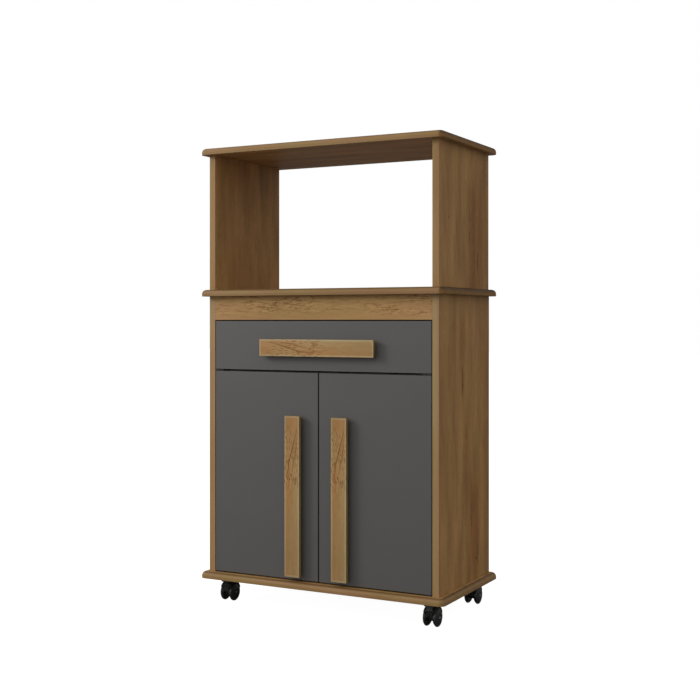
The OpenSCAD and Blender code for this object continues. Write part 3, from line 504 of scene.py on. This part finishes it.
def oak_band(name, grain, origin, seed, tone=(1.0, 1.0, 1.0), two_tone=None, painted_light_from=None,
             rolled_from=None, end_shade_from=None):
    """The plain edge band that goes with the printed oak.

    two_tone is the axis along which it turns from olive to pink, and painted_light_from the height
    above which it takes painted light. rolled_from is the underside of a board, whose rolled edge takes
    painted shade towards its top, and end_shade_from the distance in X beyond which its ends take more
    painted shade.
    """
    graph = Graph(name)
    x, _, height = graph.split(graph.place())
    spot = along_grain(graph, grain, origin)
    place = moved_by_seed(graph, spot, seed)
    streaks = graph.noise(place, (5, 60, 60), 6, 0.66)
    fibres = graph.noise(place, (40, 1800, 1800), 2, 0.7)
    dark = graph.add(0.12, graph.around(streaks, 1.3), graph.around(fibres, 0.2))
    wood = graph.mix(graph.clamped(dark), OAK_BAND, OAK_DARK)
    patches = graph.noise(place, (7, 50, 50), 2, 0.5)
    turn = graph.between(patches, 0.36, 0.64)
    if two_tone is not None:
        side = graph.split(graph.place())[two_tone]
        side = graph.add(side, -origin[two_tone], graph.around(patches, 0.008))
        turn = graph.between(side, -0.003, 0.003)
    wood = graph.tinted(0.9, wood, graph.mix(turn, OLIVE, PINK))
    wood = graph.tinted(1.0, wood, tone)
    if painted_light_from is not None:
        # Painted light: the band is lighter above that height
        pale = graph.between(height, painted_light_from - PAINTED_LIGHT_FADE, painted_light_from + PAINTED_LIGHT_FADE)
        wood = graph.tinted(pale, wood, PAINTED_LIGHT_TINT)
    if rolled_from is not None:
        # Painted shade: the rolled edge darkens towards its top
        roll_top_shade = graph.between(height, *(rolled_from + rise for rise in ROLL_TOP_SHADE_SPAN))
        wood = graph.tinted(roll_top_shade, wood, ROLL_TOP_SHADE)
    if end_shade_from is not None:
        # Painted shade: the ends are darker, and darker still towards the top of their roll
        end = graph.between(graph.math("ABSOLUTE", x), end_shade_from, end_shade_from + BOARD_END_FADE)
        wood = graph.tinted(end, wood, BOARD_END_SHADE)
        upper = graph.between(height, *(rolled_from + rise for rise in END_ROLL_SHADE_SPAN))
        wood = graph.tinted(graph.math("MULTIPLY", end, upper), wood, END_ROLL_SHADE)
    graph.set(Base_Color=wood, IOR=1.46, Specular_IOR_Level=0.2)
    graph.set(Roughness=graph.add(0.46, graph.scaled(streaks, 0.14)))
    graph.bump(fibres, 0.00003)
    return graph.material


# Plain finishes: colour, spread of its shades, grains per metre, roughness, relief in metres, and IOR.
# Fibreboard is the raw core of a board, where it is cut into
PLAIN_FINISHES = {
    "white_melamine": (MELAMINE, 0.05, 700, 0.42, 0.00002, 1.48),
    "graphite_lacquer": (GRAPHITE, 0.10, 900, 0.46, 0.00002, 1.48),
    "fibreboard": (FIBREBOARD, 0.30, 1100, 0.72, 0.00006, 1.45),
    "white_steel": (COATED, 0.05, 1200, 0.36, 0.00003, 1.5),
    "nylon": (NYLON, 0.06, 1500, 0.42, 0.00002, 1.53),
    "black_plastic": (BLACK, 0.35, 2400, 0.40, 0.00004, 1.5),
    "black_wheel": (TREAD, 0.30, 1800, 0.34, 0.00003, 1.5),
    "black_zinc": (BLACK_ZINC, 0.40, 1500, 0.45, 0.00002, 1.5),
}


def mottled(name, colour, spread, grains, roughness, relief, ior):
    """A plain finish with fine mottling of its colour, gloss and surface."""
    graph = Graph(name)
    place = graph.place()
    broad = graph.noise(place, (14, 14, 14), 3, 0.6)
    fine = graph.noise(place, (grains,) * 3, 2, 0.55)
    shade = graph.add(1 - spread / 2, graph.scaled(broad, spread / 2), graph.scaled(fine, spread / 2))
    gloss = graph.add(roughness - 0.05, graph.scaled(broad, 0.06), graph.scaled(fine, 0.04))
    tint = graph.join(shade, shade, shade)
    graph.set(Base_Color=graph.tinted(1.0, colour, tint), Roughness=gloss, IOR=ior)
    graph.bump(fine, relief)
    return graph.material


def zinc_steel():
    """Zinc plating, with the fine crystals and dull patches that it takes on."""
    graph = Graph("zinc_steel")
    place = graph.place()
    clouds = graph.noise(place, (90, 90, 90), 4, 0.65)
    grains = graph.noise(place, (1600, 1600, 1600), 2, 0.6)
    shade = graph.add(0.80, graph.scaled(clouds, 0.26), graph.scaled(grains, 0.10))
    tint = graph.join(shade, shade, graph.scaled(shade, 1.02))
    gloss = graph.add(0.24, graph.scaled(clouds, 0.16), graph.scaled(grains, 0.08))
    graph.set(Base_Color=graph.tinted(1.0, ZINC, tint), Roughness=gloss, Metallic=1.0)
    graph.bump(grains, 0.00002)
    return graph.material


def hardboard():
    """Pressed fibres, smooth and brown, with darker strands and pale specks."""
    graph = Graph("hardboard")
    place = graph.place()
    clouds = graph.noise(place, (12, 12, 12), 4, 0.6)
    strands = graph.noise(place, (260, 260, 900), 3, 0.65, 1.2)
    specks = graph.between(graph.noise(place, (1100, 1100, 1100), 1, 0.5), 0.66, 0.76)
    share = graph.add(graph.between(strands, 0.42, 0.68, 0.0, 0.7), graph.around(clouds, 0.5))
    board = graph.mix(graph.clamped(share), HARDBOARD, HARDBOARD_FIBRE)
    board = graph.mix(graph.scaled(specks, 0.35), board, BEECH)
    graph.set(Base_Color=board, Roughness=graph.add(0.52, graph.scaled(strands, 0.16)), IOR=1.47)
    graph.bump(strands, 0.00005)
    return graph.material


def beech():
    """Turned beech with its short flecks, lengthwise along any axis."""
    graph = Graph("beech")
    place = graph.place()
    flecks = graph.between(graph.noise(place, (700, 700, 700), 3, 0.6, 0.8), 0.52, 0.66)
    clouds = graph.noise(place, (90, 90, 90), 3, 0.6)
    share = graph.add(graph.scaled(flecks, 0.5), graph.around(clouds, 0.3))
    graph.set(Base_Color=graph.mix(graph.clamped(share), BEECH, BEECH_FLECK))
    graph.set(Roughness=graph.add(0.55, graph.scaled(clouds, 0.15)), IOR=1.45)
    graph.bump(flecks, 0.00004)
    return graph.material


# Pieces that stand for a node, with its edges softened
def on_face(vert, lo, hi, axis):
    """Whether a corner lies on one of the box's two faces across an axis."""
    return min(abs(vert.co[axis] - lo[axis]), abs(vert.co[axis] - hi[axis])) < ON_FACE


def is_box_arris(edge, lo, hi):
    """Whether an edge lies along two of the box's faces at once."""
    shared = [axis for axis in (X, Y, Z) if all(on_face(v, lo, hi, axis) for v in edge.verts)]
    return len(shared) >= 2 and edge.calc_length() > SHORTEST_ARRIS


def is_lower_rim(edge, lo, hi):
    """Whether an edge is part of a board's outline on its underside."""
    centre = (lo + hi) / 2
    inside = (hi - lo) / 2 - Vector((RIM_MARGIN, RIM_MARGIN, 0))
    return all(
        abs(v.co.z - lo.z) < ON_FACE
        and (abs(v.co.x - centre.x) > inside.x or abs(v.co.y - centre.y) > inside.y)
        for v in edge.verts
    )


def is_hood_arris(edge, lo, hi):
    """Whether an edge runs along the outline of one of a hood's upright faces."""
    upright = [f for f in edge.link_faces if abs(f.normal.x) > HOOD_UPRIGHT]
    return len(upright) == 1 and all(v.co.z < hi.z - HOOD_CROWN for v in edge.verts)


def softened(name, radius, materials, thin_axis, choose=is_box_arris, flat=PANEL_FLAT, raw_behind=None):
    """Puts a copy with rounded arrises in a node's place.

    A second material is for the narrow edges, whose normals have a share below flat along the thin
    axis. A third is for what lies at least raw_behind from the lower side of that axis.
    """
    lo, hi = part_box(name)
    work = bmesh.new()
    work.from_mesh(nodes[name].data)
    bmesh.ops.remove_doubles(work, verts=work.verts, dist=WELD)
    bmesh.ops.dissolve_limit(work, angle_limit=FLAT, verts=work.verts, edges=work.edges)
    arrises = [
        e for e in work.edges
        if len(e.link_faces) == 2 and e.calc_face_angle() > SHARP and choose(e, lo, hi)
    ]
    bmesh.ops.bevel(
        work, geom=arrises, offset=radius, segments=ARRIS_STEPS, profile=0.5, affect="EDGES",
        clamp_overlap=True,
    )
    for face in work.faces:
        face.smooth = True
        face.material_index = 0 if abs(face.normal[thin_axis]) > flat else min(1, len(materials) - 1)
        if raw_behind and face.calc_center_median()[thin_axis] > lo[thin_axis] + raw_behind - WELD:
            face.material_index = 2
    mesh = bpy.data.meshes.new(name + "_looks")
    work.to_mesh(mesh)
    work.free()
    mesh.set_sharp_from_angle(angle=SHARP)
    for material in materials:
        mesh.materials.append(material)
    piece = bpy.data.objects.new(name + "_looks", mesh)
    bpy.context.scene.collection.objects.link(piece)
    weighted = piece.modifiers.new("flat faces", "WEIGHTED_NORMAL")
    weighted.keep_sharp = True
    weighted.weight = 100
    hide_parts(name)
    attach(piece, body_of[name])


def middle(name):
    """The middle of a node's box."""
    lo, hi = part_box(name)
    return (lo + hi) / 2


def dress(name, material):
    """Gives a node that keeps its own mesh its material."""
    nodes[name].data.materials.clear()
    nodes[name].data.materials.append(material)


def add_boards():
    # The edge bands are darkened, the middle board's more than the others: painted shade
    band_shade_tones = {
        "top_board": (0.86, 0.83, 0.79),
        "middle_board": (0.79, 0.78, 0.75),
        "base_board": (0.86, 0.84, 0.81),
    }
    for number, (name, tone) in enumerate(band_shade_tones.items()):
        lo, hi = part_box(name)
        # The upper two boards take painted shade this far in from their ends
        ends = None if name == "base_board" else hi.x - BOARD_END
        marks = ((RUST, TOP_RUST), (KNOT, TOP_DARK)) if name == "top_board" else ()
        face = oak(name + "_oak", "xyz", middle(name), BOARD_SEED + number, rings=0.2, marks=marks)
        band = oak_band(name + "_band", "xyz", middle(name), BOARD_BAND_SEED + number, tone,
                        rolled_from=lo.z, end_shade_from=ends)
        softened(name, BOARD_ARRIS, [face, band], Z, is_lower_rim, BOARD_FLAT)


def side_oak(name, origin, seed, marks=()):
    return oak(name, "zyx", origin, seed, ticks=0.3, hue=0.3, tone=SIDE_TONE, marks=marks)


def add_sides():
    marks = {
        "upper_side_left": (),
        "upper_side_right": ((SHADE, UPPER_RIGHT_SHADE), (KNOT, UPPER_RIGHT_DARK)),
        "lower_side_left": (),
        "lower_side_right": ((SHADE, LOWER_RIGHT_SHADE), (KNOT, LOWER_RIGHT_DARK)),
    }
    for number, name in enumerate(marks):
        face = side_oak(name + "_oak", middle(name), SIDE_SEED + number, marks[name])
        # The lower panels' front bands are lighter, and lighter still above a height: painted light
        if name.startswith("lower"):
            tone, painted_light_from = (1.02, 1.05, 1.10), PAINTED_LIGHT_HEIGHT
        else:
            tone, painted_light_from = (1.0, 1.0, 0.97), None
        band = oak_band(name + "_band", "zyx", middle(name), SIDE_BAND_SEED + number, tone,
                        two_tone=X, painted_light_from=painted_light_from)
        softened(name, PANEL_ARRIS, [face, band], X)


def add_cam_covers():
    """The covers carry the print of the panels that they are stuck on."""
    dress("cam_covers", side_oak("cam_covers_oak", middle("upper_side_left"), SIDE_SEED))


def add_rails(gap_shade_edging):
    """The rail between the drawer and the doors takes the fronts' dark finish on its edges, which also
    stands in as painted shade in the gap below the drawer.
    """
    origin = middle("front_rail")
    rail = oak("front_rail_oak", "xzy", origin, RAIL_SEED, streaks=1.0, rings=0.12, ticks=1.0, hue=0.6,
               tone=(1.0, 1.01, 1.07), zone=rail_zone, marks=((KNOT, RAIL_DARK),))
    rail_band = oak_band("front_rail_band", "xzy", origin, RAIL_BAND_SEED)
    softened("front_rail", PANEL_ARRIS, [rail, rail_band], Y)
    divider = oak("divider_rail_oak", "xyz", middle("divider_rail"), DIVIDER_SEED)
    # Its dark edges are painted shade in the gap below the drawer
    softened("divider_rail", PANEL_ARRIS, [divider, gap_shade_edging], Z)


def add_shelf():
    shelf = oak("inner_shelf_oak", "xyz", middle("inner_shelf"), SHELF_SEED)
    band = oak_band("inner_shelf_band", "xyz", middle("inner_shelf"), SHELF_BAND_SEED)
    softened("inner_shelf", PANEL_ARRIS, [shelf, band], Z)


def add_handles(core):
    """All handles carry one print, which starts at the left or the upper end."""
    marks = ((MOSS, HANDLE_MOSS), (WARM, HANDLE_WARM), (VEIN, HANDLE_DARK), (PALE_SPECKS_AND_RIM_HIGHLIGHT, HANDLE_SPECKS))
    for name in ("drawer_handle", "door_handle_left", "door_handle_right"):
        lo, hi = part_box(name)
        origin = (lo + hi) / 2
        # A handle's narrow sides and ends take darkened band tones, the drawer handle's most: painted
        # shade
        if name == "drawer_handle":
            grain, length, width = "xzy", hi.x - lo.x, hi.z - lo.z
            face_tone, band_shade_tone = (0.97, 0.99, 1.03), (0.62, 0.66, 0.54)
            origin.x = lo.x
        else:
            grain, length, width = "Zxy", hi.z - lo.z, hi.x - lo.x
            face_tone, band_shade_tone = (0.92, 0.93, 0.94), (0.80, 0.90, 0.72)
            origin.z = hi.z
        face = oak(name + "_oak", grain, origin, HANDLE_SEED, streaks=1.0, ticks=1.0, hue=0.3,
                   tone=face_tone, zone=handle_zone, marks=marks, strip=(length, width / 2, HANDLE_RIM_HIGHLIGHT))
        band = oak_band(name + "_band", grain, origin, HANDLE_BAND_SEED, band_shade_tone)
        softened(name, HANDLE_ARRIS, [face, band, core], Y, raw_behind=HANDLE_LIP)


def add_fronts(finish):
    for name in ("drawer_front", "door_left", "door_right"):
        softened(name, FRONT_ARRIS, [finish], Y)


def add_drawer_box(finish):
    for name, thin_axis in (("drawer_side_left", X), ("drawer_side_right", X), ("drawer_back", Y)):
        softened(name, PANEL_ARRIS, [finish], thin_axis)


def add_hoods(finish):
    for corner in CORNERS:
        softened("hood_" + corner, HOOD_ARRIS, [finish], X, is_hood_arris)


def dress_the_rest(finish_of):
    """Every node that is still shown takes the finish of its material slot."""
    for name, node in nodes.items():
        if not node.hide_render and slot_of[name] in finish_of:
            dress(name, finish_of[slot_of[name]])


# Stage
def add_camera():
    data = bpy.data.cameras.new("camera")
    data.sensor_fit = "HORIZONTAL"
    data.sensor_width = SENSOR_MM
    data.lens = FOCAL_PX * SENSOR_MM / PICTURE_PX
    data.shift_y = (HORIZON_PX - PICTURE_PX / 2) / PICTURE_PX
    camera = bpy.data.objects.new("camera", data)
    camera.location = CAMERA_PLACE
    camera.rotation_euler = (math.pi / 2, 0, CAMERA_YAW)
    bpy.context.scene.collection.objects.link(camera)
    bpy.context.scene.camera = camera


def add_floor():
    bpy.ops.mesh.primitive_plane_add(size=FLOOR_SIZE)
    floor = bpy.context.object
    floor.name = "floor"
    graph = Graph("floor_white")
    seen = graph.node("LightPath").outputs["Is Camera Ray"]
    graph.set(Base_Color=(FLOOR_GREY,) * 3 + (1.0,), Roughness=0.9, Specular_IOR_Level=0.0)
    graph.set(Emission_Color=(1.0, 1.0, 1.0, 1.0), Emission_Strength=graph.scaled(seen, FLOOR_SHINE))
    floor.data.materials.append(graph.material)


def add_sky():
    """A white surround, seen at full white and dimmer as a light."""
    world = bpy.data.worlds.new("surround")
    world.use_nodes = True
    tree = world.node_tree
    tree.nodes.clear()
    output = tree.nodes.new("ShaderNodeOutputWorld")
    background = tree.nodes.new("ShaderNodeBackground")
    background.inputs["Color"].default_value = (1.0, 1.0, 1.0, 1.0)
    rays = tree.nodes.new("ShaderNodeLightPath")
    direction = tree.nodes.new("ShaderNodeTexCoord")
    parts = tree.nodes.new("ShaderNodeSeparateXYZ")
    tree.links.new(direction.outputs["Generated"], parts.inputs[0])
    falls = []
    for axis, share in (("X", SKY_LEFT), ("Y", SKY_FRONT)):
        fall = tree.nodes.new("ShaderNodeMath")
        fall.operation = "MULTIPLY_ADD"
        tree.links.new(parts.outputs[axis], fall.inputs[0])
        fall.inputs[1].default_value = -share
        falls.append(fall)
    from_left, from_front = falls
    from_left.inputs[2].default_value = SKY_SHINE
    tree.links.new(from_left.outputs[0], from_front.inputs[2])
    shine = tree.nodes.new("ShaderNodeMix")
    tree.links.new(rays.outputs["Is Camera Ray"], shine.inputs["Factor"])
    tree.links.new(from_front.outputs[0], shine.inputs["A"])
    shine.inputs["B"].default_value = 1.0
    tree.links.new(shine.outputs[0], background.inputs["Strength"])
    tree.links.new(background.outputs[0], output.inputs["Surface"])
    bpy.context.scene.world = world


def add_key_light():
    data = bpy.data.lights.new("key", "AREA")
    data.shape = "DISK"
    data.size = KEY_SIZE
    data.energy = KEY_WATTS
    light = bpy.data.objects.new("key", data)
    light.location = KEY_PLACE
    light.rotation_euler = (Vector(KEY_AIM) - light.location).to_track_quat("-Z", "Y").to_euler()
    bpy.context.scene.collection.objects.link(light)


def set_view():
    view = bpy.context.scene.view_settings
    view.view_transform = "Standard"
    view.look = "None"


add_camera()
add_floor()
add_sky()
add_key_light()
set_view()

finishes = {name: mottled(name, *values) for name, values in PLAIN_FINISHES.items()}
finishes["hardboard"] = hardboard()
finishes["beech"] = beech()
finishes["zinc_steel"] = zinc_steel()

add_boards()
add_sides()
add_cam_covers()
add_rails(finishes["graphite_lacquer"])
add_shelf()
add_handles(finishes["fibreboard"])
add_fronts(finishes["graphite_lacquer"])
add_drawer_box(finishes["white_melamine"])
add_hoods(finishes["black_plastic"])
dress_the_rest(finishes)
